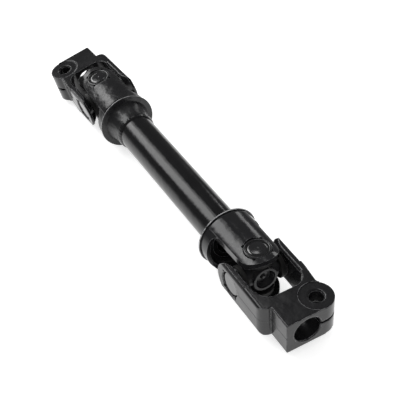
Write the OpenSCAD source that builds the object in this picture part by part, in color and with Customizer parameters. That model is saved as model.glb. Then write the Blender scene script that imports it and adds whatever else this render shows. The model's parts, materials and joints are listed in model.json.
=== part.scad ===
// Intermediate steering shaft: a welded tube with a universal joint and a forged clamp yoke at each end.
// X runs along the shaft towards its lower end and Z along the bearing axis of both tube yokes.
// The origin is on the lower clamp's bore, level with its pinch bolt hole.

/* [Shaft] */
// Distance between the centres of the two joints
joint_spacing = 211.8; // [160:0.1:320]
// Wall of the shaft tube
tube_wall = 3; // [1.5:0.25:5]
// How far the upper tube yoke is turned round the tube, in degrees
upper_roll = 10.7; // [-90:0.1:90]
// How far the upper cross is swung about the tube yoke's bearing axis, in degrees
upper_swing = 1.8; // [-20:0.1:20]
// How far the upper clamp yoke is tilted up on its cross, in degrees
upper_tilt = -1.2; // [-20:0.1:20]
// How far the lower clamp yoke is tilted down on its cross, in degrees
lower_tilt = 1.7; // [-20:0.1:20]

/* [Cross and bearings] */
// Radius of the bearing holes
bearing_hole_r = 8; // [7:0.05:9.5]
// Length of a bearing cup
cup_len = 6.9; // [6.2:0.1:8]
// Rounding of a bearing cup's outer corner
cup_round = 1.8; // [0.5:0.1:2.4]
// Wall of a bearing cup
cup_wall = 1.3; // [1:0.05:1.6]
// Thickness of a bearing cup's floor
cup_floor = 1.5; // [1:0.1:2]
// Radius of a trunnion
trunnion_r = 4.9; // [4:0.05:5.8]
// Chamfer at the end of a trunnion
trunnion_chamfer = 0.4; // [0.2:0.1:0.6]
// Gap between a row of rollers and each end of its room
roller_end_gap = 0.4; // [0.2:0.1:0.8]
// Radius of the hub's round openings towards the shaft and the clamp
hub_r = 7.9; // [6.6:0.1:9]
// Half length of the hub along the shaft
hub_half = 7.8; // [6.6:0.1:9]
// Wall round the hub's opening
hub_lip = 1.5; // [1:0.1:2.2]
// Depth of the hub's opening
hub_recess = 3.5; // [2:0.25:5]
// Depth of the straight part of the opening at its mouth
recess_mouth = 1; // [0.5:0.1:2]
// How much narrower the opening is at its floor
recess_taper = 1.4; // [0.5:0.1:2.5]
// Radius of the small boss on the opening's floor
boss_r = 1.8; // [1:0.1:2.4]
// Height of that boss
boss_h = 1.4; // [0.6:0.1:2]
// Radius of the shoulder that a seal runs on
shoulder_r = 6.4; // [5.6:0.1:7.4]
// Radial gap between that shoulder and its seal
seal_gap = 0.1; // [0.05:0.05:0.3]
// How far a seal stands out past its cup
seal_over = 1; // [0.6:0.1:1.4]
// Height of a seal's ring below the mouth of its cup
seal_h = 1.3; // [0.9:0.1:1.5]
// Bevel at a seal's rim
seal_edge = 0.3; // [0.1:0.1:0.6]
// Length of a seal's skirt over its cup
seal_skirt = 1.5; // [0.8:0.1:1.9]
// Space between the seals on the clamp's trunnions and those on the tube yoke's
seal_space = 1.8; // [1:0.1:2.5]
// Thickness of a thrust pad
pad_t = 1; // [0.6:0.1:1.4]
// Radius of a thrust pad less than its trunnion's
pad_inset = 0.7; // [0.5:0.1:1.2]
// Radius of a thrust pad's stem
stem_r = 1.5; // [1:0.1:2]
// Length of a thrust pad's stem
stem_len = 4; // [2.5:0.25:5.5]
// Gap below the end of that stem
stem_end_gap = 0.2; // [0.1:0.1:0.5]

/* [Tube yoke] */
// Thickness of the two ears
ear_t = 3.2; // [2.4:0.1:4]
// Thickness of the side walls between the ears
side_t = 2.4; // [1.6:0.1:3]
// How far a cup lies below the crest of its ear
ear_cup_sink = 1; // [0.6:0.1:1.6]
// Gap between a seal's rim and the inside of the drawn cup
ear_seal_gap = 2.17; // [0.5:0.02:3]
// Step from the tube out to the inside of the drawn cup
floor_step = 3.9; // [3.3:0.1:5]
// Gap between an ear's edge and the clamp yoke's arm
ear_side_gap = 1.9; // [1.5:0.1:2.8]
// Wall round the bearing hole at the round tip of an ear
ear_rim = 4.1; // [3.2:0.1:4.3]
// Space between the swung arms and the bottom of the side windows
window_gap = 4.3; // [2:0.1:6]
// Radius in the corners of the side windows
window_r = 4.5; // [2:0.5:6]
// Bottom of the side windows to the rim at the tube
collar_len = 8.4; // [6.5:0.1:12]
// Thickness of the end wall that the tube is welded into
end_wall_t = 5; // [3.5:0.25:6]
// Rounding of the rim's outer edge
rim_round = 1.2; // [0.5:0.1:1.6]
// Thickness of the thin lip round the rim
lip_t = 0.9; // [0.6:0.1:1.2]
// How far that lip stands out past the ears
lip_over = 0.3; // [0.1:0.1:0.8]
// Rim to the start of the ears' rounded back end
ear_start = 0.4; // [0.2:0.1:2]
// Rounding at the back end of the ears
ear_round = 3; // [1:0.25:3]
// Fillet inside the bottom of the cup
bottom_fillet = 3; // [1:0.25:3.25]
// How far the lower yoke's dished end face reaches past the inside of the cup
dish_over = 0.4; // [0.1:0.1:0.9]
// Depth of the dished end face
dish_depth = 1.8; // [0.8:0.1:2.6]
// How far the upper yoke's neck rises above the tube at the end face
neck_rise = 3.7; // [2.5:0.1:4.2]
// Length of the upper yoke's neck
neck_len = 13.5; // [8:0.5:20]
// Wall of the neck at its thin end
neck_lip = 0.6; // [0.4:0.1:1]

/* [Weld] */
// Leg of the weld beads along the tube
weld_leg_x = 3.4; // [2:0.1:5]
// Leg of the lower weld bead along the end face
weld_leg_r = 2.4; // [1.5:0.1:3]
// Leg of the upper weld bead up the end of the neck
neck_weld_leg = 1.2; // [0.8:0.1:2]
// How far a bead's face bulges out
weld_crown = 0.5; // [0.2:0.1:0.9]

/* [Clamp yoke] */
// Edge of the bearing hole to the flat top and bottom of the forging
arm_edge = 3.3; // [2.7:0.1:4]
// Edge of the bearing hole to the round tip of an arm
arm_rim = 5.2; // [4.6:0.1:6.4]
// Space between a seal's rim and the inside of an arm
arm_seal_gap = 1.1; // [0.3:0.1:1.8]
// How far a cup lies below the outside of its arm
arm_cup_sink = 0.7; // [0.4:0.1:1]
// Turned radius of the arms past their half width
swing_over = 2.1; // [1.7:0.1:2.5]
// Radius of the rougher fork base past the arms' half width
base_over = 2.7; // [2.2:0.1:3.4]
// End of the turned stretch past the arm's tip radius
turned_over = 1.4; // [0.4:0.1:4]
// Space between the swung ears and the bottom of the gap
throat_gap = 5.77; // [3:0.01:8]
// Radius in the corners of the gap
throat_r = 8; // [5:0.5:10]
// Bottom of the gap to the end of the shoulder on the plain side
base_wall = 6.2; // [6:0.1:8]
// Rounding of that shoulder
shoulder_round = 6; // [3:0.25:6]
// How far the fork base on the bolt side lies inside the arm's outside
side_inset = 1.6; // [0.8:0.1:2.4]
// Radius of the clamp bore
clamp_bore_r = 8.6; // [7:0.05:10.2]
// Wall between the bore and the block's plain side
block_wall = 5.15; // [4:0.05:6.2]
// Chamfer at the mouth of the clamp bore
bore_chamfer = 0.6; // [0.2:0.1:1]
// Width of the slot that lets the clamp close
slot_w = 2; // [1:0.1:3]
// Bottom of the gap to the blind end of the slot
slot_wall = 4.2; // [2.5:0.1:5]
// Bottom of the gap to the axis of the pinch bolt hole
bolt_back = 11.8; // [10:0.1:14]
// Radius of the pinch bolt hole
bolt_hole_r = 4.2; // [3.4:0.1:5]
// How far the bolt hole cuts into the bore
bolt_bite = 0.7; // [0.3:0.05:1]
// Wall of the round lug about the bolt hole
lug_wall = 6; // [5:0.1:7.2]
// Depth of the spot face round the bolt hole
spot_depth = 0.5; // [0.1:0.05:0.8]
// Radius that blends an arm into the lug
lug_blend_r = 3.5; // [2:0.25:5]
// Bevel along the inner edges of the arms
arm_bevel = 1.4; // [1.4:0.1:2.2]
// Rounding of the fork base's edges on the plain side
base_round = 2.5; // [1:0.25:4]
// Chamfer along the block's edges on the plain side
block_chamfer = 0.6; // [0.2:0.1:1]

/* [Edges and fits] */
// Chamfer round the bearing holes
hole_chamfer = 0.6; // [0.3:0.1:1]
// Width of the ledge that the staking tool leaves round a bearing hole
ledge_w = 0.55; // [0.3:0.05:0.8]
// Depth of that ledge below the ear's surface
ledge_depth = 0.45; // [0.2:0.05:0.6]
// Chamfer at both ends of the bolt hole
bolt_chamfer = 0.9; // [0.3:0.1:1.2]
// Gap between a part and the hole it is pressed into
press_gap = 0.01; // [0.005:0.005:0.02]
// Radial play of the rollers on each side
roller_play = 0.02; // [0.01:0.005:0.04]
// End play of a thrust pad under its cup
pad_play = 0.05; // [0.03:0.01:0.1]
// Notches punched round each bearing hole to hold its cup
stake_count = 4; // [3:1:6]
// Radius of a punched notch
stake_r = 1.1; // [0.6:0.1:1.4]
// Angle from the shaft's direction to the first notch, in degrees
stake_turn = 45; // [30:5:60]

/* [Hidden] */
$fn = 96;
roller_fn = 24;
neck_fn = 360;

// A cut runs this far past the face it opens
over = 1;
// Longer than any piece of a joint
far = 80;

// Bearings, from the trunnions outwards
cup_r = bearing_hole_r - press_gap;
raceway_r = cup_r - cup_wall;
seal_r = cup_r + seal_over;
needle_r = (raceway_r - trunnion_r) / 2 - roller_play;
needle_pitch_r = (raceway_r + trunnion_r) / 2;
needle_count = floor(180 / asin((needle_r + press_gap) / needle_pitch_r));
needle_len = cup_len - cup_floor - 2 * roller_end_gap;

// The inside of the drawn cup clears the rims of its seals, and the tube follows from it
seal_to_ear = cup_len + ear_cup_sink - ear_t - seal_skirt;
cup_in_r = (seal_r * seal_r + seal_to_ear * seal_to_ear) / (2 * seal_to_ear) + ear_seal_gap;
ear_r = cup_in_r + ear_t;
side_r = cup_in_r + side_t;
lip_r = ear_r + lip_over;
tube_r = cup_in_r - floor_step;
face_in_tube_yoke = ear_r - ear_cup_sink;
ledge_z = sqrt(ear_r * ear_r - pow(bearing_hole_r + ledge_w, 2)) - ledge_depth;

// The clamp yoke's arms stand outside the seals of their own trunnions
arm_mouth = seal_r + seal_space + seal_h;
face_in_clamp_yoke = arm_mouth + cup_len;
arm_out = face_in_clamp_yoke + arm_cup_sink;
gap_half = arm_mouth + seal_skirt + arm_seal_gap;
half_t = bearing_hole_r + arm_edge;
clamp_t = 2 * half_t;
arm_tip_r = bearing_hole_r + arm_rim;
relief_r = half_t - arm_bevel;
swing_r = arm_out + swing_over;
base_swing_r = arm_out + base_over;
turned_len = arm_tip_r + turned_over;

// The ears pass between the arms, and each yoke's end lies outside the other one's swung tips
ear_tip_r = bearing_hole_r + ear_rim;
ear_half_w = gap_half - ear_side_gap;
window_back = norm([arm_tip_r, arm_out]) + window_gap;
yoke_back = window_back + collar_len;
end_wall_in = yoke_back - end_wall_t;
ear_back = -yoke_back + ear_start;
throat_x = norm([ear_tip_r, ear_r]) + throat_gap;

// Block and lug; the lug's end is level with the end face
block_side = clamp_bore_r + block_wall;
bolt_x = throat_x + bolt_back;
bolt_y = clamp_bore_r + bolt_hole_r - bolt_bite;
lug_r = bolt_hole_r + lug_wall;
clamp_len = bolt_x + lug_r;
slot_x = throat_x + slot_wall;
shoulder_x = throat_x + base_wall;
bolt_side_half = arm_out - side_inset;

// Dished end face and neck
dish_r = cup_in_r + dish_over;
neck_r = tube_r + neck_rise;

// Centre of the circle that blends the fork into the lug
blend_y = bolt_side_half + lug_blend_r;
blend_reach = lug_r + lug_blend_r;
blend_x = bolt_x - sqrt(blend_reach * blend_reach - pow(blend_y - bolt_y, 2));

// Places of the joints
lower_x = -bolt_x * cos(lower_tilt);
shaft_z = bolt_x * sin(lower_tilt);
upper_x = lower_x - joint_spacing;

// Colours of the finishes
black_paint = [0.06, 0.06, 0.065];
bare_steel = [0.55, 0.55, 0.57];
black_rubber = [0.09, 0.09, 0.09];
white_nylon = [0.85, 0.84, 0.80];

// Places and directions

module at_lower() translate([lower_x, 0, shaft_z]) children();

module on_lower_clamp() at_lower() rotate([0, lower_tilt, 0]) children();

module at_upper() translate([upper_x, 0, shaft_z]) rotate([upper_roll, 0, 0]) rotate([0, 0, 180]) children();

module on_upper_cross() at_upper() rotate([0, 0, upper_swing]) children();

module on_upper_clamp() on_upper_cross() rotate([0, -upper_tilt, 0]) children();

module to_top() children();

module to_bottom() rotate([180, 0, 0]) children();

module to_bolt_side() rotate([-90, 0, 0]) children();

module to_plain_side() rotate([90, 0, 0]) children();

// A revolved shape about the shaft's axis, drawn with x as radius and y as distance along the axis
module revolve_x() rotate([90, 0, 90]) rotate_extrude() children();

// A plain disc or rod about the shaft's axis between two stations
module rod_x(r, x0, x1) translate([x0, 0, 0]) rotate([0, 90, 0]) cylinder(r = r, h = x1 - x0);

// The tube

module shaft_tube() {
    color(black_paint)
        translate([0, 0, shaft_z])
            difference() {
                rod_x(tube_r, upper_x + end_wall_in, lower_x - end_wall_in);
                rod_x(tube_r - tube_wall, upper_x, lower_x);
            }
}

// A weld bead fills the corner between the tube and a face at face_x, and its own face bulges as an arc
module weld_bead(face_x, leg_r) {
    slope = sqrt(weld_leg_x * weld_leg_x + leg_r * leg_r);
    arc_r = (slope * slope / 4 + weld_crown * weld_crown) / (2 * weld_crown);
    color(black_paint)
        revolve_x()
            intersection() {
                translate([tube_r + leg_r / 2, face_x - weld_leg_x / 2])
                    rotate(-atan(leg_r / weld_leg_x)) translate([weld_crown - arc_r, 0]) circle(arc_r);
                translate([tube_r, face_x - weld_leg_x - over]) square([leg_r + over, weld_leg_x + over]);
            }
}

// The tube yoke: a drawn cup with a round hole for the tube and two ears that stand proud of its side walls

module yoke_shell_profile(necked) {
    bore_r = tube_r + press_gap;
    difference() {
        union() {
            translate([bore_r, -yoke_back]) square([side_r - rim_round - bore_r, end_wall_t]);
            translate([cup_in_r - bottom_fillet, -yoke_back + rim_round])
                square([side_r - cup_in_r + bottom_fillet, yoke_back - rim_round - end_wall_in + bottom_fillet]);
            translate([side_r - rim_round, -yoke_back + rim_round]) circle(rim_round);
            translate([side_r - rim_round, -yoke_back]) square([lip_r - lip_t / 2 - side_r + rim_round, lip_t]);
            translate([lip_r - lip_t / 2, -yoke_back + lip_t / 2]) circle(lip_t / 2);
            translate([cup_in_r, -yoke_back + rim_round]) square([side_t, yoke_back - rim_round - window_back]);
        }
        translate([cup_in_r - bottom_fillet, -end_wall_in + bottom_fillet]) circle(bottom_fillet);
        translate([0, -end_wall_in + bottom_fillet]) square([cup_in_r, bottom_fillet + over]);
        translate([0, -end_wall_in]) square([cup_in_r - bottom_fillet, bottom_fillet + over]);
        if (!necked)
            polygon([[0, -yoke_back - over], [dish_r, -yoke_back - over], [dish_r, -yoke_back],
                     [tube_r + weld_leg_r, -yoke_back + dish_depth], [0, -yoke_back + dish_depth]]);
    }
    if (necked)
        neck_profile();
}

// Hollow curve of the neck, which ends level with the tube
module neck_profile() {
    bore_r = tube_r + press_gap;
    end_r = tube_r + neck_lip;
    rise = neck_r - end_r;
    curve_r = (neck_len * neck_len + rise * rise) / (2 * rise);
    difference() {
        translate([bore_r, -yoke_back - neck_len]) square([neck_r - bore_r, neck_len + rim_round]);
        translate([end_r + curve_r, -yoke_back - neck_len]) circle(curve_r, $fn = neck_fn);
    }
}

// Half section of the ears' ring, rounded at its back end
module ear_profile() {
    intersection() {
        union() {
            translate([0, ear_back + ear_round]) square([ear_r, ear_tip_r - ear_back - ear_round]);
            translate([ear_r - ear_round, ear_back + ear_round]) circle(ear_round);
        }
        translate([cup_in_r, ear_back]) square([ear_t, ear_tip_r - ear_back]);
    }
}

// Plan of an ear: a plate that narrows a little from the rim to its round tip
module ear_plan() {
    circle(ear_tip_r);
    polygon([[-yoke_back, -ear_half_w], [0, -ear_tip_r], [0, ear_tip_r], [-yoke_back, ear_half_w]]);
}

// Side wall that fills the corners of the windows beside the ears
module window_corners() {
    corner_x = -window_back + window_r;
    low_z = sqrt(side_r * side_r - ear_half_w * ear_half_w) - window_r;
    difference() {
        rod_x(side_r, -window_back, corner_x);
        rod_x(cup_in_r, -window_back - over, corner_x + over);
        translate([-far / 2, -far / 2, -low_z]) cube([far, far, 2 * low_z]);
        for (side = [-1, 1])
            translate([corner_x, 0, side * low_z]) rotate([90, 0, 0]) cylinder(r = window_r, h = far, center = true);
    }
}

// A bearing hole along +Z in a wall whose outer face is at face, with its chamfer and its punched notches
module bearing_hole(face, notch_at) {
    cylinder(r = bearing_hole_r, h = far);
    translate([0, 0, face - hole_chamfer])
        cylinder(r1 = bearing_hole_r, r2 = bearing_hole_r + hole_chamfer + over, h = hole_chamfer + over);
    for (i = [0:stake_count - 1])
        rotate([0, 0, stake_turn + i * 360 / stake_count])
            translate([bearing_hole_r + stake_r / 2, 0, notch_at]) cylinder(r = stake_r, h = far);
}

module tube_yoke(necked) {
    // The ear's surface is curved, so the notches start lower than its crest
    notch_z = sqrt(ear_r * ear_r - pow(bearing_hole_r * sin(stake_turn), 2)) - stake_r;
    color(black_paint)
        difference() {
            union() {
                revolve_x() yoke_shell_profile(necked);
                window_corners();
                intersection() {
                    revolve_x() ear_profile();
                    linear_extrude(height = far, center = true) ear_plan();
                }
            }
            for (side = [0, 180])
                rotate([side, 0, 0]) {
                    bearing_hole(ear_r, notch_z);
                    translate([0, 0, ledge_z]) cylinder(r = bearing_hole_r + ledge_w, h = far);
                }
        }
}

// The cross: a hub that is open along the shaft, and four trunnions

module trunnion(face) {
    end_z = face - cup_floor - pad_t - pad_play;
    shoulder_z = face - cup_len - seal_h / 2;
    difference() {
        union() {
            cylinder(r = shoulder_r, h = shoulder_z);
            cylinder(r = trunnion_r, h = end_z - trunnion_chamfer);
            translate([0, 0, end_z - trunnion_chamfer])
                cylinder(r1 = trunnion_r, r2 = trunnion_r - trunnion_chamfer, h = trunnion_chamfer);
        }
        translate([0, 0, end_z - stem_len]) cylinder(r = stem_r + press_gap, h = stem_len + over);
    }
}

module cross() {
    recess_r = hub_r - hub_lip;
    color(black_paint)
        difference() {
            union() {
                rod_x(hub_r, -hub_half, hub_half);
                to_top() trunnion(face_in_tube_yoke);
                to_bottom() trunnion(face_in_tube_yoke);
                to_bolt_side() trunnion(face_in_clamp_yoke);
                to_plain_side() trunnion(face_in_clamp_yoke);
            }
            for (side = [0, 180])
                rotate([0, 0, side])
                    difference() {
                        revolve_x()
                            polygon([[0, hub_half - hub_recess], [recess_r - recess_taper, hub_half - hub_recess],
                                     [recess_r, hub_half - recess_mouth], [recess_r, hub_half + over],
                                     [0, hub_half + over]]);
                        translate([hub_half - hub_recess, 0, 0])
                            rotate([0, 90, 0]) cylinder(r1 = boss_r, r2 = boss_r / 2, h = boss_h);
                    }
        }
}

// The bearing pieces are drawn with the trunnion along +Z and the joint's centre at the origin

module bearing_cup(face) {
    mouth = face - cup_len;
    color(black_paint)
        rotate_extrude()
            difference() {
                union() {
                    translate([0, mouth]) square([cup_r, cup_len - cup_round]);
                    translate([0, mouth]) square([cup_r - cup_round, cup_len]);
                    translate([cup_r - cup_round, face - cup_round]) circle(cup_round);
                }
                translate([-over, mouth - over]) square([raceway_r + over, cup_len - cup_floor + over]);
            }
}

module rollers(face) {
    color(bare_steel)
        for (i = [0:needle_count - 1])
            rotate([0, 0, i * 360 / needle_count])
                translate([needle_pitch_r, 0, face - cup_len + roller_end_gap])
                    cylinder(r = needle_r, h = needle_len, $fn = roller_fn);
}

module seal(face) {
    mouth = face - cup_len;
    color(black_rubber)
        rotate_extrude()
            polygon([[shoulder_r + seal_gap, mouth - seal_h], [seal_r - seal_edge, mouth - seal_h],
                     [seal_r, mouth - seal_h + seal_edge], [seal_r, mouth + seal_skirt],
                     [cup_r + press_gap, mouth + seal_skirt], [cup_r + press_gap, mouth],
                     [shoulder_r + seal_gap, mouth]]);
}

module thrust_pad(face) {
    seat = face - cup_floor - pad_t - pad_play;
    color(white_nylon) {
        translate([0, 0, seat]) cylinder(r = trunnion_r - pad_inset, h = pad_t);
        translate([0, 0, seat - stem_len + stem_end_gap]) cylinder(r = stem_r, h = stem_len);
    }
}

// The clamp yoke: a forged fork whose base carries a split clamp with a pinch bolt lug

module fork_plan() {
    // Plain side of the fork with the round shoulder
    translate([-arm_tip_r, -arm_out]) square([arm_tip_r + shoulder_x - shoulder_round, arm_out]);
    translate([throat_x, -arm_out + shoulder_round]) square([shoulder_x - throat_x, arm_out - shoulder_round]);
    translate([shoulder_x - shoulder_round, -arm_out + shoulder_round]) circle(shoulder_round);
    // Bolt side of the fork
    translate([-arm_tip_r, -over]) square([arm_tip_r + turned_len, arm_out + over]);
    polygon([[turned_len - over, -over], [blend_x, -over], [blend_x, bolt_side_half],
             [turned_len, arm_out], [turned_len - over, arm_out]]);
}

module lug_plan() {
    translate([throat_x, -block_side]) square([clamp_len - throat_x, block_side + bolt_y]);
    translate([bolt_x, bolt_y]) circle(lug_r);
    difference() {
        polygon([[blend_x - over, 0], [bolt_x, 0], [bolt_x, bolt_y], [blend_x, blend_y],
                 [blend_x, bolt_side_half], [blend_x - over, bolt_side_half]]);
        translate([blend_x, blend_y]) circle(lug_blend_r);
    }
}

module throat_plan() {
    translate([-far, -gap_half]) square([far + throat_x - throat_r, 2 * gap_half]);
    translate([-far, -gap_half + throat_r]) square([far + throat_x, 2 * (gap_half - throat_r)]);
    for (side = [-1, 1])
        translate([throat_x - throat_r, side * (gap_half - throat_r)]) circle(throat_r);
}

// Space that the yoke must stay inside, seen from the side and along the shaft
module yoke_limit() {
    intersection() {
        union() {
            rotate([90, 0, 0]) cylinder(r = arm_tip_r, h = far, center = true);
            translate([0, -far / 2, -half_t]) cube([clamp_len, far, clamp_t]);
        }
        union() {
            rod_x(swing_r, -far / 2, turned_len + over);
            rod_x(base_swing_r, turned_len, blend_x + over);
            translate([blend_x, -far / 2, -half_t]) cube([far, far, clamp_t]);
        }
        union() {
            translate([-far, -far / 2, -far / 2]) cube([far + turned_len, far, far]);
            base_section();
        }
    }
}

// Section of the fork's base and the block, with rounded edges on the plain side
module base_section() {
    translate([turned_len - over, 0, 0])
        rotate([90, 0, 90])
            linear_extrude(height = far) {
                translate([-arm_out + base_round, -half_t]) square([far, clamp_t]);
                translate([-arm_out, -half_t + base_round]) square([far, clamp_t - 2 * base_round]);
                for (side = [-1, 1])
                    translate([-arm_out + base_round, side * (half_t - base_round)]) circle(base_round);
            }
}

// Chamfers along the top and bottom edges of the block's plain side
module block_edge_cut() {
    for (side = [0, 1])
        mirror([0, 0, side])
            translate([shoulder_x, -block_side, half_t - block_chamfer])
                rotate([90, 0, 90])
                    linear_extrude(height = far)
                        polygon([[-over, -over], [block_chamfer + over, block_chamfer + over],
                                 [-over, block_chamfer + over]]);
}

// Clearance for the other yoke's ears: a cone round the tip and a bevel along the arm, both at 45 degrees
module arm_relief() {
    depth = arm_tip_r - relief_r;
    intersection() {
        translate([-far, gap_half - over, -far / 2]) cube([far, depth + over, far]);
        difference() {
            translate([0, gap_half - over, 0]) rotate([-90, 0, 0]) cylinder(r = far / 2, h = depth + over);
            translate([0, gap_half - over, 0])
                rotate([-90, 0, 0]) cylinder(r1 = relief_r - over, r2 = arm_tip_r, h = depth + over);
        }
    }
    for (side = [0, 1])
        mirror([0, 0, side])
            translate([0, gap_half, relief_r])
                rotate([90, 0, 90])
                    linear_extrude(height = throat_x - throat_r)
                        polygon([[-over, -over], [far / 8, far / 8], [-over, far / 8]]);
}

module clamp_yoke() {
    color(black_paint)
        difference() {
            intersection() {
                linear_extrude(height = clamp_t, center = true)
                    difference() {
                        union() {
                            fork_plan();
                            lug_plan();
                        }
                        throat_plan();
                    }
                yoke_limit();
            }
            arm_relief();
            mirror([0, 1, 0]) arm_relief();
            to_bolt_side() bearing_hole(arm_out, arm_out - stake_r);
            to_plain_side() bearing_hole(arm_out, arm_out - stake_r);
            rod_x(clamp_bore_r, 0, clamp_len + over);
            translate([clamp_len - bore_chamfer, 0, 0])
                rotate([0, 90, 0])
                    cylinder(r1 = clamp_bore_r, r2 = clamp_bore_r + bore_chamfer + over, h = bore_chamfer + over);
            translate([slot_x, 0, -slot_w / 2]) cube([far, far, slot_w]);
            block_edge_cut();
            translate([bolt_x, bolt_y, 0]) cylinder(r = bolt_hole_r, h = far, center = true);
            for (side = [0, 1])
                mirror([0, 0, side])
                    translate([bolt_x, bolt_y, half_t - spot_depth - bolt_chamfer])
                        cylinder(r1 = bolt_hole_r, r2 = bolt_hole_r + bolt_chamfer + over, h = bolt_chamfer + over);
            for (side = [-1, 1])
                translate([bolt_x, bolt_y, side * (half_t - spot_depth / 2 + over / 2)])
                    cylinder(r = lug_r, h = spot_depth + over, center = true);
        }
}

// Nodes of the shaft's own body

module lower_tube_yoke() at_lower() tube_yoke(false);

module upper_tube_yoke() at_upper() tube_yoke(true);

module lower_weld_bead() at_lower() weld_bead(-yoke_back + dish_depth, weld_leg_r);

module upper_weld_bead() at_upper() weld_bead(-yoke_back - neck_len, neck_weld_leg);

// Nodes of the crosses and the clamp yokes

module lower_cross() at_lower() cross();

module upper_cross() on_upper_cross() cross();

module lower_clamp_yoke() on_lower_clamp() clamp_yoke();

module upper_clamp_yoke() on_upper_clamp() clamp_yoke();

shaft_tube();
lower_tube_yoke();
upper_tube_yoke();
lower_weld_bead();
upper_weld_bead();
lower_cross();
upper_cross();
lower_clamp_yoke();
upper_clamp_yoke();
at_lower() to_top() bearing_cup(face_in_tube_yoke);  // lower_top_cup
at_lower() to_bottom() bearing_cup(face_in_tube_yoke);  // lower_bottom_cup
on_lower_clamp() to_bolt_side() bearing_cup(face_in_clamp_yoke);  // lower_bolt_side_cup
on_lower_clamp() to_plain_side() bearing_cup(face_in_clamp_yoke);  // lower_plain_side_cup
at_upper() to_top() bearing_cup(face_in_tube_yoke);  // upper_top_cup
at_upper() to_bottom() bearing_cup(face_in_tube_yoke);  // upper_bottom_cup
on_upper_clamp() to_bolt_side() bearing_cup(face_in_clamp_yoke);  // upper_bolt_side_cup
on_upper_clamp() to_plain_side() bearing_cup(face_in_clamp_yoke);  // upper_plain_side_cup
at_lower() to_top() rollers(face_in_tube_yoke);  // lower_top_rollers
at_lower() to_bottom() rollers(face_in_tube_yoke);  // lower_bottom_rollers
on_lower_clamp() to_bolt_side() rollers(face_in_clamp_yoke);  // lower_bolt_side_rollers
on_lower_clamp() to_plain_side() rollers(face_in_clamp_yoke);  // lower_plain_side_rollers
at_upper() to_top() rollers(face_in_tube_yoke);  // upper_top_rollers
at_upper() to_bottom() rollers(face_in_tube_yoke);  // upper_bottom_rollers
on_upper_clamp() to_bolt_side() rollers(face_in_clamp_yoke);  // upper_bolt_side_rollers
on_upper_clamp() to_plain_side() rollers(face_in_clamp_yoke);  // upper_plain_side_rollers
at_lower() to_top() seal(face_in_tube_yoke);  // lower_top_seal
at_lower() to_bottom() seal(face_in_tube_yoke);  // lower_bottom_seal
on_lower_clamp() to_bolt_side() seal(face_in_clamp_yoke);  // lower_bolt_side_seal
on_lower_clamp() to_plain_side() seal(face_in_clamp_yoke);  // lower_plain_side_seal
at_upper() to_top() seal(face_in_tube_yoke);  // upper_top_seal
at_upper() to_bottom() seal(face_in_tube_yoke);  // upper_bottom_seal
on_upper_clamp() to_bolt_side() seal(face_in_clamp_yoke);  // upper_bolt_side_seal
on_upper_clamp() to_plain_side() seal(face_in_clamp_yoke);  // upper_plain_side_seal
at_lower() to_top() thrust_pad(face_in_tube_yoke);  // lower_top_pad
at_lower() to_bottom() thrust_pad(face_in_tube_yoke);  // lower_bottom_pad
at_lower() to_bolt_side() thrust_pad(face_in_clamp_yoke);  // lower_bolt_side_pad
at_lower() to_plain_side() thrust_pad(face_in_clamp_yoke);  // lower_plain_side_pad
on_upper_cross() to_top() thrust_pad(face_in_tube_yoke);  // upper_top_pad
on_upper_cross() to_bottom() thrust_pad(face_in_tube_yoke);  // upper_bottom_pad
on_upper_cross() to_bolt_side() thrust_pad(face_in_clamp_yoke);  // upper_bolt_side_pad
on_upper_cross() to_plain_side() thrust_pad(face_in_clamp_yoke);  // upper_plain_side_pad
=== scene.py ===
"""Looks of an intermediate steering shaft: gloss black paint over drawn and forged steel."""

import json
from math import cos, hypot, pi, radians, sin

import bpy
from mathutils import Matrix, Vector


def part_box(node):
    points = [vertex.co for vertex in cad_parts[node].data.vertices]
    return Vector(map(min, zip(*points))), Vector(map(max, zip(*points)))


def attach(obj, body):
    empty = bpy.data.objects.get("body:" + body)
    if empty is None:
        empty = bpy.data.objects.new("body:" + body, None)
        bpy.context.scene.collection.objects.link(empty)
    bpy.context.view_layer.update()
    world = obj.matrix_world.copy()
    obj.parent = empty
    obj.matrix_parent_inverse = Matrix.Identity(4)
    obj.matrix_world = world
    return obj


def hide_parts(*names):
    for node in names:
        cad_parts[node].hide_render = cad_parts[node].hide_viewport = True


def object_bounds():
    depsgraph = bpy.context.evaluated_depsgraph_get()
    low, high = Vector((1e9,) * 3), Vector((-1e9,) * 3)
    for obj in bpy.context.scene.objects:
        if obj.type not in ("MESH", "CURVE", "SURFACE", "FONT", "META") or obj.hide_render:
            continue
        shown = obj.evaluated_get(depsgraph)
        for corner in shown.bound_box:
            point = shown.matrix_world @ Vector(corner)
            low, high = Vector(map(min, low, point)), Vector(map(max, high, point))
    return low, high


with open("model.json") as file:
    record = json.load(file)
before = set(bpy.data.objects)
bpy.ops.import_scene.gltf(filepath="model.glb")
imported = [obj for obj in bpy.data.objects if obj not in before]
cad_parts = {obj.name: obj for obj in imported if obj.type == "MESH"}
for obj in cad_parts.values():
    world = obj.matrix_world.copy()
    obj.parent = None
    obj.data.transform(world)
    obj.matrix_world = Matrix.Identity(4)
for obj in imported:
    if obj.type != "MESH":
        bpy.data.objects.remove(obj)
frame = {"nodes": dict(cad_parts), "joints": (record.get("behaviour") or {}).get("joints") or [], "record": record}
cad_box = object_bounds()
nodes = frame["nodes"]
joints = {joint["name"]: joint for joint in frame["joints"]}
mounts = {mount["name"]: mount for mount in frame["record"]["mounts"]}
scene = bpy.context.scene

MM = 0.001

# Places taken from the frame

SHAFT_AXIS_Z = joints["lower_swing"]["pos_m"][2]
TUBE_RADIUS = (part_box("shaft_tube")[1].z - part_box("shaft_tube")[0].z) / 2

# Each end of the shaft, with the way along X from the tube to its joint
ENDS = {"lower": 1, "upper": -1}


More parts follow.
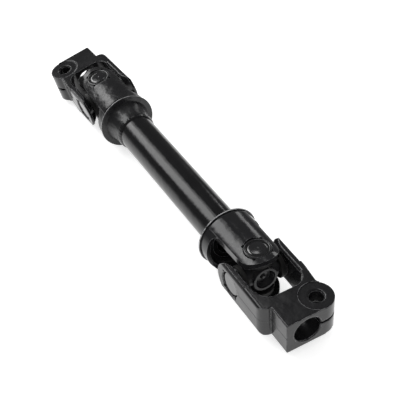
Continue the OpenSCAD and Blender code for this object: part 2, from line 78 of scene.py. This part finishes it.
def clamp_place(end):
    """Matrix of a clamp yoke at its joint: X along its bore, Y towards its pinch bolt."""
    centre = Vector(joints[f"{end}_tilt"]["pos_m"])
    along = Vector(mounts[f"{end}_clamp_bore"]["axis"])
    up = Vector(mounts[f"{end}_bolt_hole"]["axis"])
    side = up.cross(along)
    rows = Matrix((along, side, up)).transposed()
    return Matrix.Translation(centre) @ rows.to_4x4()


def shaft_place(x, way):
    """Matrix on the shaft's axis at x, whose Z points along the shaft towards +X or -X."""
    turn = Matrix.Rotation(radians(90 * way), 4, "Y")
    return Matrix.Translation((x, 0, SHAFT_AXIS_Z)) @ turn


# Shader helpers

def set_inputs(tree, node, inputs):
    """Give each named input of a node a value or another node's socket."""
    for key, value in inputs.items():
        if isinstance(value, bpy.types.NodeSocket):
            tree.links.new(value, node.inputs[key])
        else:
            node.inputs[key].default_value = value


def add(tree, kind, inputs=None, **settings):
    """One node with its settings and inputs."""
    node = tree.nodes.new(kind)
    for name, value in settings.items():
        setattr(node, name, value)
    set_inputs(tree, node, inputs or {})
    return node


def math_node(tree, operation, first, second, clamp=False):
    inputs = {0: first, 1: second}
    return add(tree, "ShaderNodeMath", inputs, operation=operation, use_clamp=clamp).outputs[0]


def product(tree, first, second):
    return math_node(tree, "MULTIPLY", first, second)


def between(tree, value, from_min, from_max, to_min, to_max):
    """A value carried from one range to another, and held inside it."""
    inputs = {"Value": value, "From Min": from_min, "From Max": from_max, "To Min": to_min, "To Max": to_max}
    return add(tree, "ShaderNodeMapRange", inputs).outputs["Result"]


def stretched(tree, scale):
    """Object coordinates in metres, scaled apart along X, Y and Z."""
    here = add(tree, "ShaderNodeTexCoord").outputs["Object"]
    return add(tree, "ShaderNodeMapping", {"Vector": here, "Scale": scale}).outputs["Vector"]


def noise(tree, vector, scale, detail=2.0, roughness=0.5):
    inputs = {"Vector": vector, "Scale": scale, "Detail": detail, "Roughness": roughness}
    return add(tree, "ShaderNodeTexNoise", inputs).outputs["Fac"]


def colour_mix(tree, factor, first, second):
    """A colour that goes from first to second with the factor."""
    node = add(tree, "ShaderNodeMix", data_type="RGBA")
    for label, value in (("Factor", factor), ("A", first), ("B", second)):
        socket = [s for s in node.inputs if s.name == label and s.enabled][0]
        if isinstance(value, bpy.types.NodeSocket):
            tree.links.new(value, socket)
        else:
            socket.default_value = value
    return [s for s in node.outputs if s.enabled][0]


def raise_grain(tree, surface, height, strength, distance, normal=None):
    """Bump a surface by a height, over a normal where one is given."""
    inputs = {"Strength": strength, "Distance": distance, "Height": height}
    if normal is not None:
        inputs["Normal"] = normal
    bump = add(tree, "ShaderNodeBump", inputs)
    tree.links.new(bump.outputs["Normal"], surface.inputs["Normal"])


# Shared effects. Their scales are in waves per metre

EVEN = (1, 1, 1)
ALONG_SHAFT = (0.02, 1, 1)
PEEL_SCALE = 1100
SAG_SCALE = 130
CLOUD_SCALE = 55
SPECK_SCALE = 700
SPECK_PATCH_SCALE = 160
WEAR_AND_HIGHLIGHT_PATCH_SCALE = 480
PIT_SCALE = 520
FORGED_WAVE_SCALE = 90
LINE_SCALE = 1500


def new_group(name, inputs, outputs):
    """An empty node group of plain numbers, with a default for each input.

    Returns the group, its input node and its output node.
    """
    group = bpy.data.node_groups.new(name, "ShaderNodeTree")
    for label, default in inputs.items():
        socket = group.interface.new_socket(name=label, in_out="INPUT", socket_type="NodeSocketFloat")
        socket.default_value = default
    for label in outputs:
        group.interface.new_socket(name=label, in_out="OUTPUT", socket_type="NodeSocketFloat")
    return group, group.nodes.new("NodeGroupInput"), group.nodes.new("NodeGroupOutput")


def build_paint_film():
    """Sprayed paint: fine orange peel, slow sags in the film, and settled specks of dust."""
    group, given, result = new_group(
        "Paint film", {"Peel": 0.5, "Sag": 0.3, "Speck": 0.2}, ("Height", "Cloud", "Specks"))
    here = stretched(group, EVEN)
    peel = product(group, noise(group, here, PEEL_SCALE, 1.0), given.outputs["Peel"])
    sag = product(group, noise(group, here, SAG_SCALE), given.outputs["Sag"])
    dots = add(group, "ShaderNodeTexVoronoi", {"Vector": here, "Scale": SPECK_SCALE}, feature="F1")
    specks = between(group, dots.outputs["Distance"], 0.05, 0.15, 1.0, 0.0)
    rare = between(group, noise(group, here, SPECK_PATCH_SCALE, 1.0), 0.62, 0.7, 0.0, 1.0)
    set_inputs(group, result, {
        "Height": math_node(group, "ADD", peel, sag),
        "Cloud": noise(group, here, CLOUD_SCALE, 4.0, 0.6),
        "Specks": product(group, product(group, specks, rare), given.outputs["Speck"]),
    })
    return group


def build_edge_wear_and_highlight():
    """Paint thinned on outer corners, and a painted highlight along them: the corner mask, in patches, where the
    mesh is convex.
    """
    group, given, result = new_group("Edge wear and painted highlight", {"Corner": 0.0, "Breakup": 0.4, "Strength": 0.5}, ("Mask",))
    pointed = add(group, "ShaderNodeNewGeometry").outputs["Pointiness"]
    convex = between(group, pointed, 0.5, 0.515, 0.0, 1.0)
    patches = noise(group, stretched(group, EVEN), WEAR_AND_HIGHLIGHT_PATCH_SCALE, 3.0)
    broken = between(group, patches, given.outputs["Breakup"], 0.6, 0.0, 1.0)
    thin = product(group, broken, given.outputs["Strength"])
    corner = product(group, given.outputs["Corner"], convex)
    set_inputs(group, result, {"Mask": product(group, corner, thin)})
    return group


def build_forged_skin():
    """Scale marks and shallow pits of a forging, as a height."""
    group, given, result = new_group("Forged skin", {"Pits": 0.5, "Waves": 0.5}, ("Height",))
    here = stretched(group, EVEN)
    cells = add(group, "ShaderNodeTexVoronoi", {"Vector": here, "Scale": PIT_SCALE}, feature="SMOOTH_F1")
    pits = between(group, cells.outputs["Distance"], 0.0, 0.35, -1.0, 0.0)
    deep = product(group, pits, given.outputs["Pits"])
    waves = product(group, noise(group, here, FORGED_WAVE_SCALE, 3.0, 0.55), given.outputs["Waves"])
    set_inputs(group, result, {"Height": math_node(group, "ADD", deep, waves)})
    return group


def build_drawn_lines():
    """Fine lines along the shaft, as a cold drawing die leaves them."""
    group, given, result = new_group("Drawn lines", {"Depth": 0.5}, ("Height",))
    fine = noise(group, stretched(group, ALONG_SHAFT), LINE_SCALE)
    set_inputs(group, result, {"Height": product(group, fine, given.outputs["Depth"])})
    return group


FILM = build_paint_film()
EDGE_WEAR_AND_HIGHLIGHT = build_edge_wear_and_highlight()
SKIN = build_forged_skin()
LINES = build_drawn_lines()


def place_group(tree, group, **inputs):
    """The outputs of a shared effect, placed in a material with its inputs."""
    return add(tree, "ShaderNodeGroup", inputs, node_tree=group).outputs


def drawn(depth):
    return lambda tree: place_group(tree, LINES, Depth=depth)


def forged(pits, waves):
    return lambda tree: place_group(tree, SKIN, Pits=pits, Waves=waves)


# Materials. Colours are linear, and lengths are in metres

DUST = (0.04, 0.039, 0.037, 1)
# Light grey on corners: thinned paint, and also a painted highlight along the edges
THIN_PAINT_AND_EDGE_HIGHLIGHT = (0.3, 0.3, 0.31, 1)
PAINT_BLUE = 1.08
WEAR_AND_HIGHLIGHT_BREAKUP = 0.35
WEAR_AND_HIGHLIGHT_ROUGHNESS = 0.2
SHARP_CORNER = (0.99, 0.91)
CLOUD_RANGE = (0.3, 0.7)

STEEL_DARK = (0.42, 0.42, 0.44, 1)
STEEL_LIGHT = (0.6, 0.6, 0.61, 1)
RUBBER_DARK = (0.008, 0.008, 0.008, 1)
RUBBER_LIGHT = (0.022, 0.022, 0.021, 1)
RUBBER_DUST = (0.07, 0.068, 0.064, 1)
NYLON_DARK = (0.72, 0.70, 0.62, 1)
NYLON_LIGHT = (0.82, 0.80, 0.74, 1)
RIM_HIGHLIGHT_DIM = (0.06, 0.06, 0.063, 1)
RIM_HIGHLIGHT_BRIGHT = (0.7, 0.7, 0.71, 1)
RIM_HIGHLIGHT_METALLIC = 0.35
RIM_HIGHLIGHT_PATCH_SCALE = 260


def blank_material(name):
    material = bpy.data.materials.new(name)
    material.use_nodes = True
    tree = material.node_tree
    tree.nodes.clear()
    surface = tree.nodes.new("ShaderNodeBsdfPrincipled")
    output = tree.nodes.new("ShaderNodeOutputMaterial")
    tree.links.new(surface.outputs[0], output.inputs["Surface"])
    return material, tree, surface


def corner_mask(tree, radius):
    """1 on a sharp corner of the mesh and 0 further away than radius."""
    rounded = add(tree, "ShaderNodeBevel", {"Radius": radius}, samples=4).outputs["Normal"]
    flat = add(tree, "ShaderNodeNewGeometry").outputs["Normal"]
    same = add(tree, "ShaderNodeVectorMath", {0: rounded, 1: flat}, operation="DOT_PRODUCT")
    return between(tree, same.outputs["Value"], *SHARP_CORNER, 0.0, 1.0)


def black_paint(name, tone, gloss, peel, sag, under=None, depth=0.00002, edge=0.0003, speck=0.2,
                rub=0.0004, wear_and_highlight=0.25, index=1.5):
    """Gloss black paint.

    tone is its grey and gloss its roughness, both from the smoothest to the dullest places. peel and sag
    are the film's unevenness, and under gives the metal's own. edge is the radius of its soft corners.
    rub and the wear strength are the width and the strength of the light grey on them, which is thin paint and
    also a painted edge highlight.
    """
    material, tree, surface = blank_material(name)
    film = place_group(tree, FILM, Peel=peel, Sag=sag, Speck=speck)
    corner = corner_mask(tree, rub)
    # Corners lightened: thin paint, and also a painted highlight along the edges
    worn_and_lit = place_group(tree, EDGE_WEAR_AND_HIGHLIGHT, Corner=corner, Breakup=WEAR_AND_HIGHLIGHT_BREAKUP, Strength=wear_and_highlight)["Mask"]
    darker, lighter = ((grey, grey, PAINT_BLUE * grey, 1) for grey in tone)
    paint = colour_mix(tree, film["Cloud"], darker, lighter)
    dusty = colour_mix(tree, film["Specks"], paint, DUST)
    rough = between(tree, film["Cloud"], *CLOUD_RANGE, *gloss)
    height = film["Height"]
    if under is not None:
        height = math_node(tree, "ADD", height, under(tree)["Height"])
    soft_corners = add(tree, "ShaderNodeBevel", {"Radius": edge}, samples=6).outputs["Normal"]
    set_inputs(tree, surface, {
        "Base Color": colour_mix(tree, worn_and_lit, dusty, THIN_PAINT_AND_EDGE_HIGHLIGHT),
        "Roughness": math_node(tree, "ADD", rough, product(tree, worn_and_lit, WEAR_AND_HIGHLIGHT_ROUGHNESS), clamp=True),
        "IOR": index,
    })
    raise_grain(tree, surface, height, 1.0, depth, soft_corners)
    return material


def ground_steel():
    """Bright ground rollers with lapping lines."""
    material, tree, surface = blank_material("Ground steel")
    lines = place_group(tree, LINES, Depth=1.0)["Height"]
    set_inputs(tree, surface, {
        "Base Color": colour_mix(tree, lines, STEEL_DARK, STEEL_LIGHT),
        "Roughness": between(tree, lines, 0.2, 0.8, 0.16, 0.32),
        "Metallic": 1.0,
    })
    raise_grain(tree, surface, lines, 0.3, 0.00001)
    return material


def seal_rubber():
    """Moulded rubber with a dusty bloom and a fine mould texture."""
    material, tree, surface = blank_material("Seal rubber")
    film = place_group(tree, FILM, Peel=0.5, Sag=0.4, Speck=0.8)
    skin = place_group(tree, SKIN, Pits=0.4, Waves=0.3)["Height"]
    tint = colour_mix(tree, film["Cloud"], RUBBER_DARK, RUBBER_LIGHT)
    set_inputs(tree, surface, {
        "Base Color": colour_mix(tree, film["Specks"], tint, RUBBER_DUST),
        "Roughness": between(tree, film["Cloud"], *CLOUD_RANGE, 0.42, 0.62),
    })
    raise_grain(tree, surface, math_node(tree, "ADD", film["Height"], skin), 0.6, 0.00003)
    return material


def pad_nylon():
    """Natural nylon, slightly yellowed, with the mould's fine grain."""
    material, tree, surface = blank_material("Pad nylon")
    film = place_group(tree, FILM, Peel=0.8, Sag=0.3, Speck=0.3)
    set_inputs(tree, surface, {
        "Base Color": colour_mix(tree, film["Cloud"], NYLON_DARK, NYLON_LIGHT),
        "Roughness": between(tree, film["Cloud"], *CLOUD_RANGE, 0.35, 0.5),
    })
    raise_grain(tree, surface, film["Height"], 0.5, 0.00002)
    return material


def rim_highlight_material():
    """A painted highlight along a sharp rim: long patches of light grey, partly metallic."""
    material, tree, surface = blank_material("Painted rim highlight")
    patches = noise(tree, stretched(tree, EVEN), RIM_HIGHLIGHT_PATCH_SCALE, 3.0, 0.6)
    highlight_patches = between(tree, patches, 0.3, 0.5, 0.0, 1.0)
    set_inputs(tree, surface, {
        "Base Color": colour_mix(tree, highlight_patches, RIM_HIGHLIGHT_DIM, RIM_HIGHLIGHT_BRIGHT),
        "Metallic": product(tree, highlight_patches, RIM_HIGHLIGHT_METALLIC),
        "Roughness": between(tree, patches, 0.3, 0.7, 0.45, 0.3),
    })
    raise_grain(tree, surface, patches, 0.5, 0.00002)
    return material


MATERIALS = {
    "tube": black_paint(
        "Black paint on drawn tube", tone=(0.006, 0.011), gloss=(0.1, 0.2), peel=0.25, sag=9.0,
        under=drawn(0.6), speck=0.15),
    "tube_yoke": black_paint(
        "Black paint on drawn yoke", tone=(0.011, 0.018), gloss=(0.1, 0.17), peel=0.1, sag=9.0,
        under=drawn(0.15), edge=0.0002, speck=0.1, wear_and_highlight=0.6),
    "neck": black_paint(
        "Black paint over brushed weld", tone=(0.01, 0.017), gloss=(0.2, 0.34), peel=0.3, sag=40.0,
        under=forged(0.2, 16.0), edge=0.0002, wear_and_highlight=0.5),
    "forging": black_paint(
        "Black paint on forging", tone=(0.009, 0.015), gloss=(0.14, 0.24), peel=0.2, sag=7.0,
        under=forged(0.1, 5.0), edge=0.0012, speck=0.1, rub=0.0006, wear_and_highlight=0.9),
    "cross": black_paint(
        "Black paint on cross", tone=(0.018, 0.03), gloss=(0.16, 0.28), peel=0.3, sag=8.0,
        under=forged(0.2, 5.0)),
    "cup": black_paint(
        "Black paint on bearing cup", tone=(0.01, 0.016), gloss=(0.08, 0.15), peel=0.2, sag=4.0,
        edge=0.0002, index=1.9),
    "weld": black_paint(
        "Black paint on weld bead", tone=(0.006, 0.012), gloss=(0.14, 0.26), peel=0.4, sag=15.0,
        under=forged(0.5, 6.0), edge=0.0002),
    # A near-black ring that paints the shade in the groove round each cup's crown
    "groove_shade": black_paint(
        "Painted shade in a groove", tone=(0.001, 0.003), gloss=(0.6, 0.8), peel=0.4, sag=2.0, wear_and_highlight=0.0),
    # A light grey ring that paints the bright highlight line along each yoke's rim
    "edge": rim_highlight_material(),
    "rollers": ground_steel(),
    "seal": seal_rubber(),
    "pad": pad_nylon(),
}

# The finish of each CAD node, by the end of its name
FINISHES = {
    "shaft_tube": "tube",
    "upper_tube_yoke": "neck",
    "lower_tube_yoke": "tube_yoke",
    "clamp_yoke": "forging",
    "weld_bead": "weld",
    "cross": "cross",
    "cup": "cup",
    "rollers": "rollers",
    "seal": "seal",
    "pad": "pad",
}


def finish_of(node):
    """The finish that a CAD node shows."""
    for ending, finish in FINISHES.items():
        if node.endswith(ending):
            return finish
    raise ValueError(f"no finish for {node}")


for name, node in nodes.items():
    node.data.materials.clear()
    node.data.materials.append(MATERIALS[finish_of(name)])


# Mesh helpers. Their points are in millimetres

def make_piece(name, points, faces, place, body, finish):
    """A smooth mesh piece from points in its own place, riding on a body."""
    mesh = bpy.data.meshes.new(name)
    mesh.from_pydata([tuple(MM * value for value in point) for point in points], [], faces)
    mesh.validate()
    mesh.materials.append(MATERIALS[finish])
    for face in mesh.polygons:
        face.use_smooth = True
    piece = bpy.data.objects.new(name, mesh)
    scene.collection.objects.link(piece)
    piece.matrix_world = place
    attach(piece, body)
    return piece


def loop_faces(rows, columns, close_rows=True, close_columns=True):
    """Quads of a grid of points that is stored row by row and may close both ways."""
    faces = []
    for row in range(rows if close_rows else rows - 1):
        for column in range(columns if close_columns else columns - 1):
            next_row, next_column = (row + 1) % rows, (column + 1) % columns
            faces.append((row * columns + column, next_row * columns + column,
                          next_row * columns + next_column, row * columns + next_column))
    return faces


def lathe(name, profile, sides, place, finish):
    """A closed ring of the shaft turned about its own Z, from a closed profile of (radius, height)."""
    points = []
    for side in range(sides):
        angle = 2 * pi * side / sides
        points += [(radius * cos(angle), radius * sin(angle), height) for radius, height in profile]
    make_piece(name, points, loop_faces(sides, len(profile)), place, "shaft", finish)


def arc(centre, radius, first, last, steps=5):
    """Points of an arc between two angles in degrees."""
    angles = [radians(first + (last - first) * step / steps) for step in range(steps + 1)]
    return [(centre[0] + radius * cos(angle), centre[1] + radius * sin(angle)) for angle in angles]


# Ends of the bearing cups in the ears. Heights are above the CAD cup's outer face

CUP_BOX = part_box("lower_top_cup")
CUP_RADIUS = (CUP_BOX[1].x - CUP_BOX[0].x) / 2 / MM
CUP_FACE = CUP_BOX[1].z - SHAFT_AXIS_Z
CUP_SIDES = 72

CROWN_RADIUS = 50.0
CROWN_HEIGHT = 0.65
CROWN_EDGE = 4.2
CROWN_STEPS = 6
CROWN_ROUND = 3.0
CROWN_ROUND_FROM = 84
CROWN_ROUND_TO = 48
CROWN_FOOT = -0.5
CROWN_HUB = 0.01

COLLAR_IN = 6.6
COLLAR_OUT = CUP_RADIUS + 0.15
COLLAR_HEIGHT = 0.45
COLLAR_ROUND = 0.6
COLLAR_FOOT = -1.2


def cup_seat(end, way):
    """Place on the outer face of an ear's cup, with Z pointing out of the joint."""
    outwards = way * Vector(joints[f"{end}_swing"]["axis"])
    centre = Vector(joints[f"{end}_swing"]["pos_m"]) + outwards * CUP_FACE
    return Matrix.Translation(centre) @ outwards.to_track_quat("Z", "Y").to_matrix().to_4x4()


def crown_profile():
    """The slightly domed middle of a cup's end, from its centre to its rounded edge."""
    radii = [CROWN_EDGE * step / CROWN_STEPS for step in range(CROWN_STEPS + 1)]
    dome = [(max(radius, CROWN_HUB), CROWN_HEIGHT - radius ** 2 / (2 * CROWN_RADIUS)) for radius in radii]
    corner = (CROWN_EDGE, dome[-1][1] - CROWN_ROUND)
    edge = arc(corner, CROWN_ROUND, CROWN_ROUND_FROM, CROWN_ROUND_TO, CROWN_STEPS)
    return dome + edge + [(edge[-1][0], CROWN_FOOT), (CROWN_HUB, CROWN_FOOT)]


def collar_profile():
    """The ear's metal rolled over the edge of a cup."""
    inner = (COLLAR_IN + COLLAR_ROUND, COLLAR_HEIGHT - COLLAR_ROUND)
    outer = (COLLAR_OUT - COLLAR_ROUND, COLLAR_HEIGHT - COLLAR_ROUND)
    return (arc(outer, COLLAR_ROUND, 0, 90) + arc(inner, COLLAR_ROUND, 90, 180)
            + [(COLLAR_IN, COLLAR_FOOT), (COLLAR_OUT, COLLAR_FOOT)])


# Painted shade: a near-black ring between the crown and the collar
GROOVE_SHADE_PROFILE = [(5.7, -0.3), (6.9, -0.3), (6.9, -0.1), (6.6, 0.06), (6.1, 0.06), (5.7, -0.1)]

CUP_END_PIECES = (
    ("cup_groove_shade", GROOVE_SHADE_PROFILE, "groove_shade"),
    ("cup_crown", crown_profile(), "cup"),
    ("rolled_collar", collar_profile(), "cup"),
)

for end in ENDS:
    for side, way in (("top", 1), ("bottom", -1)):
        for kind, profile, finish in CUP_END_PIECES:
            lathe(f"{end}_{side}_{kind}", profile, CUP_SIDES, cup_seat(end, way), finish)

# Painted highlights along the rims of the tube yokes

RIM_WIRE = 0.25
RIM_SET_IN = 0.17
RIM_LAST_ANGLE = 315
RIM_STEPS = 7
RIM_SIDES = 120
LIP_THICKNESS = 0.9


def highlight_rim(end, way):
    """A painted highlight line along the front corner of a tube yoke's lip."""
    low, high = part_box("lower_tube_yoke")
    lip_radius = (high.z - low.z) / 2 / MM
    to_lip = joints["lower_swing"]["pos_m"][0] - low.x
    lip_x = joints[f"{end}_swing"]["pos_m"][0] - way * to_lip
    corner = (lip_radius - RIM_SET_IN, LIP_THICKNESS - RIM_SET_IN)
    profile = arc(corner, RIM_WIRE, 0, RIM_LAST_ANGLE, RIM_STEPS)
    lathe(f"{end}_highlight_rim", profile, RIM_SIDES, shaft_place(lip_x, way), "edge")


for end, way in ENDS.items():
    highlight_rim(end, way)

# Weld beads

RIPPLE_COUNTS = {"lower": 34, "upper": 38}
ROWS_PER_RIPPLE = 8
BEAD_COLUMNS = 12
BEAD_SINK = 0.05
BEAD_CROWN = 0.25
BEAD_HOLLOW = 0.25
BEAD_OVERLAP = 0.35
RIPPLE_HEIGHT = 0.16


def weld_ripples(end, way, ripples):
    """A weld bead with overlapping ripples and an unsteady hand, in the box of its CAD ring."""
    low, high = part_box(f"{end}_weld_bead")
    root_x = high.x if way > 0 else low.x
    length = (high.x - low.x) / MM
    outer = (high.z - low.z) / 2 / MM
    tube = TUBE_RADIUS / MM
    rows = ripples * ROWS_PER_RIPPLE
    points = []
    for row in range(rows):
        angle = 2 * pi * row / rows
        phase = row / rows * ripples % 1.0
        ripple = RIPPLE_HEIGHT * (1 - phase) + 0.05 * sin(5 * angle) + 0.04 * sin(11 * angle + 1)
        spread = 1 + 0.04 * sin(3 * angle)
        for column in range(BEAD_COLUMNS):
            share = column / (BEAD_COLUMNS - 1)
            crest = sin(pi * share)
            radius = tube - BEAD_SINK + (outer - tube) * share
            radius += (BEAD_CROWN + ripple) * crest - BEAD_HOLLOW * share * (1 - share)
            along = -length * (1 - share) * spread - BEAD_OVERLAP * crest
            points.append((radius * cos(angle), radius * sin(angle), along))
    faces = loop_faces(rows, BEAD_COLUMNS, close_columns=False)
    piece = make_piece(f"{end}_weld_ripples", points, faces, shaft_place(root_x, way), "shaft", "weld")
    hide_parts(f"{end}_weld_bead")


for end, way in ENDS.items():
    weld_ripples(end, way, RIPPLE_COUNTS[end])

# Forging flash, in the X and Y of a clamp yoke

ARM_SIDE = 19.7
ARM_STEPS = (9.5, 14.6, 22)
SHOULDER_X = 29.0
SHOULDER_ROUND = 6.0
SHOULDER_STEPS = 8
BLOCK_SIDE = 13.75
BLOCK_STEPS = (36.2, 43, 50.4)

# Height along the yoke's Z and distance out of the metal
FLASH_PROFILE = ((-0.55, -0.05), (-0.3, 0.08), (0.0, 0.16), (0.3, 0.08), (0.55, -0.05))


def flash_path():
    """Route of the trimmed flash on the plain side: the arm, the round shoulder and the block."""
    shoulder = arc((SHOULDER_X, SHOULDER_ROUND - ARM_SIDE), SHOULDER_ROUND, -90, 0, SHOULDER_STEPS)
    arm = [(x, -ARM_SIDE) for x in (*ARM_STEPS, SHOULDER_X)]
    block = [(x, -BLOCK_SIDE) for x in BLOCK_STEPS]
    return arm + shoulder[1:] + block


def flash_line(end):
    """The thin ridge where the dies met, trimmed and painted over, outside the bearing cup."""
    route = flash_path()
    points = []
    for index, (x, y) in enumerate(route):
        before = route[max(index - 1, 0)]
        after = route[min(index + 1, len(route) - 1)]
        run_x, run_y = after[0] - before[0], after[1] - before[1]
        size = hypot(run_x, run_y)
        out_x, out_y = run_y / size, -run_x / size
        wander = 0.12 * sin(0.9 * x) + 0.06 * sin(2.3 * x)
        for up, out in FLASH_PROFILE:
            points.append((x + out_x * out, y + out_y * out, up + wander))
    faces = loop_faces(len(route), len(FLASH_PROFILE), False, False)
    make_piece(f"{end}_flash_line", points, faces, clamp_place(end), f"{end}_clamp", "forging")


for end in ENDS:
    flash_line(end)

# Floor, world and lamps

FLOOR_Z = cad_box[0].z
FLOOR_HALF = 4.0
PAPER_NEAR, PAPER_FAR = 0.04, 0.2
PAPER_DIMMING = 0.8
PAPER_WHITE = (0.8, 0.8, 0.8, 1)
PAPER_GLOW = 0.62
ROOM_LIGHT = 0.7
ROOM_LIGHT_NOT_REFLECTED = 0.62
BLACK = (0, 0, 0, 1)
WHITE = (1, 1, 1, 1)


def paper_material():
    """White paper that keeps a soft shadow. In reflections it darkens with the distance from the shaft."""
    material, tree, surface = blank_material("White paper")
    path = add(tree, "ShaderNodeLightPath").outputs
    here = add(tree, "ShaderNodeTexCoord").outputs["Object"]
    across = add(tree, "ShaderNodeSeparateXYZ", {"Vector": here}).outputs["Y"]
    sideways = add(tree, "ShaderNodeMath", {0: across}, operation="ABSOLUTE").outputs[0]
    away = between(tree, sideways, PAPER_NEAR, PAPER_FAR, 0.0, PAPER_DIMMING)
    dimming = math_node(tree, "SUBTRACT", 1.0, product(tree, away, path["Is Glossy Ray"]))
    seen = math_node(tree, "MAXIMUM", path["Is Camera Ray"], path["Is Glossy Ray"])
    seen = math_node(tree, "MAXIMUM", seen, path["Is Transmission Ray"])
    set_inputs(tree, surface, {
        "Base Color": colour_mix(tree, dimming, BLACK, PAPER_WHITE),
        "Roughness": 1.0,
        "Specular IOR Level": 0.0,
        "Emission Color": WHITE,
        "Emission Strength": product(tree, product(tree, seen, dimming), PAPER_GLOW),
    })
    return material


def build_floor():
    mesh = bpy.data.meshes.new("floor")
    corners = [(x * FLOOR_HALF, y * FLOOR_HALF, FLOOR_Z) for x, y in ((-1, -1), (1, -1), (1, 1), (-1, 1))]
    mesh.from_pydata(corners, [], [(0, 1, 2, 3)])
    mesh.materials.append(paper_material())
    floor = bpy.data.objects.new("floor", mesh)
    scene.collection.objects.link(floor)


def build_world():
    """A white backdrop for the camera, a plain soft light on surfaces, and a dark room in reflections."""
    world = bpy.data.worlds.new("Studio")
    scene.world = world
    world.use_nodes = True
    tree = world.node_tree
    tree.nodes.clear()
    path = add(tree, "ShaderNodeLightPath").outputs
    hidden = product(tree, path["Is Glossy Ray"], -ROOM_LIGHT_NOT_REFLECTED)
    level = math_node(tree, "ADD", hidden, ROOM_LIGHT)
    strength = math_node(tree, "MAXIMUM", level, path["Is Camera Ray"])
    light = add(tree, "ShaderNodeBackground", {"Color": WHITE, "Strength": strength})
    output = tree.nodes.new("ShaderNodeOutputWorld")
    tree.links.new(light.outputs[0], output.inputs["Surface"])


def soft_box(name, azimuth, elevation, distance, size, radiance, roll=0.0):
    """A soft lamp that faces the part, with its direction in degrees as seen from there."""
    width, height = size
    lamp = bpy.data.lights.new(name, "AREA")
    lamp.shape = "RECTANGLE"
    lamp.size = width
    lamp.size_y = height
    lamp.energy = radiance * pi * width * height
    thing = bpy.data.objects.new(name, lamp)
    scene.collection.objects.link(thing)
    level = cos(radians(elevation))
    way = Vector((level * cos(radians(azimuth)), level * sin(radians(azimuth)), sin(radians(elevation))))
    thing.location = (cad_box[0] + cad_box[1]) / 2 + way * distance
    thing.rotation_mode = "QUATERNION"
    facing = (-way).to_track_quat("-Z", "Y")
    thing.rotation_quaternion = facing @ Matrix.Rotation(radians(roll), 3, "Z").to_quaternion()


build_floor()
build_world()
soft_box("key_box", azimuth=-152.5, elevation=39.4, distance=1.6, size=(0.6, 0.7), radiance=2.05)
soft_box("key_box_glow", azimuth=-156, elevation=39.6, distance=1.65, size=(0.95, 0.9), radiance=1.5)
soft_box("back_box", azimuth=-172, elevation=19, distance=1.6, size=(1.05, 0.5), radiance=2.2, roll=45)
soft_box("front_strip", azimuth=-133, elevation=52, distance=1.6, size=(0.5, 0.5), radiance=3.0, roll=35)
soft_box("side_strip", azimuth=122, elevation=23, distance=1.6, size=(0.6, 0.3), radiance=2.2)
soft_box("far_box", azimuth=154, elevation=58, distance=1.6, size=(0.3, 0.22), radiance=2.2)

# Camera

CAMERA_FROM_JOINT = Vector((324.15, -187.99, 390.05)) * MM
CAMERA_RIGHT = Vector((0.48650, 0.87072, -0.07187))
CAMERA_UP = Vector((-0.55394, 0.37102, 0.74531))
FOCAL_PIXELS = 927.3
IMAGE_PIXELS = 400
SENSOR_WIDTH = 36
CLIP_START, CLIP_END = 0.01, 20


def build_camera():
    """The photograph's own view, solved from points measured on the tube and the lower joint."""
    data = bpy.data.cameras.new("camera")
    camera = bpy.data.objects.new("camera", data)
    scene.collection.objects.link(camera)
    back = CAMERA_RIGHT.cross(CAMERA_UP).normalized()
    right = CAMERA_UP.cross(back).normalized()
    up = back.cross(right)
    place = Matrix((right, up, back)).transposed().to_4x4()
    place.translation = Vector(joints["lower_swing"]["pos_m"]) + CAMERA_FROM_JOINT
    camera.matrix_world = place
    data.sensor_width = SENSOR_WIDTH
    data.lens = SENSOR_WIDTH * FOCAL_PIXELS / IMAGE_PIXELS
    data.clip_start = CLIP_START
    data.clip_end = CLIP_END
    scene.camera = camera


build_camera()
scene.view_settings.view_transform = "Standard"
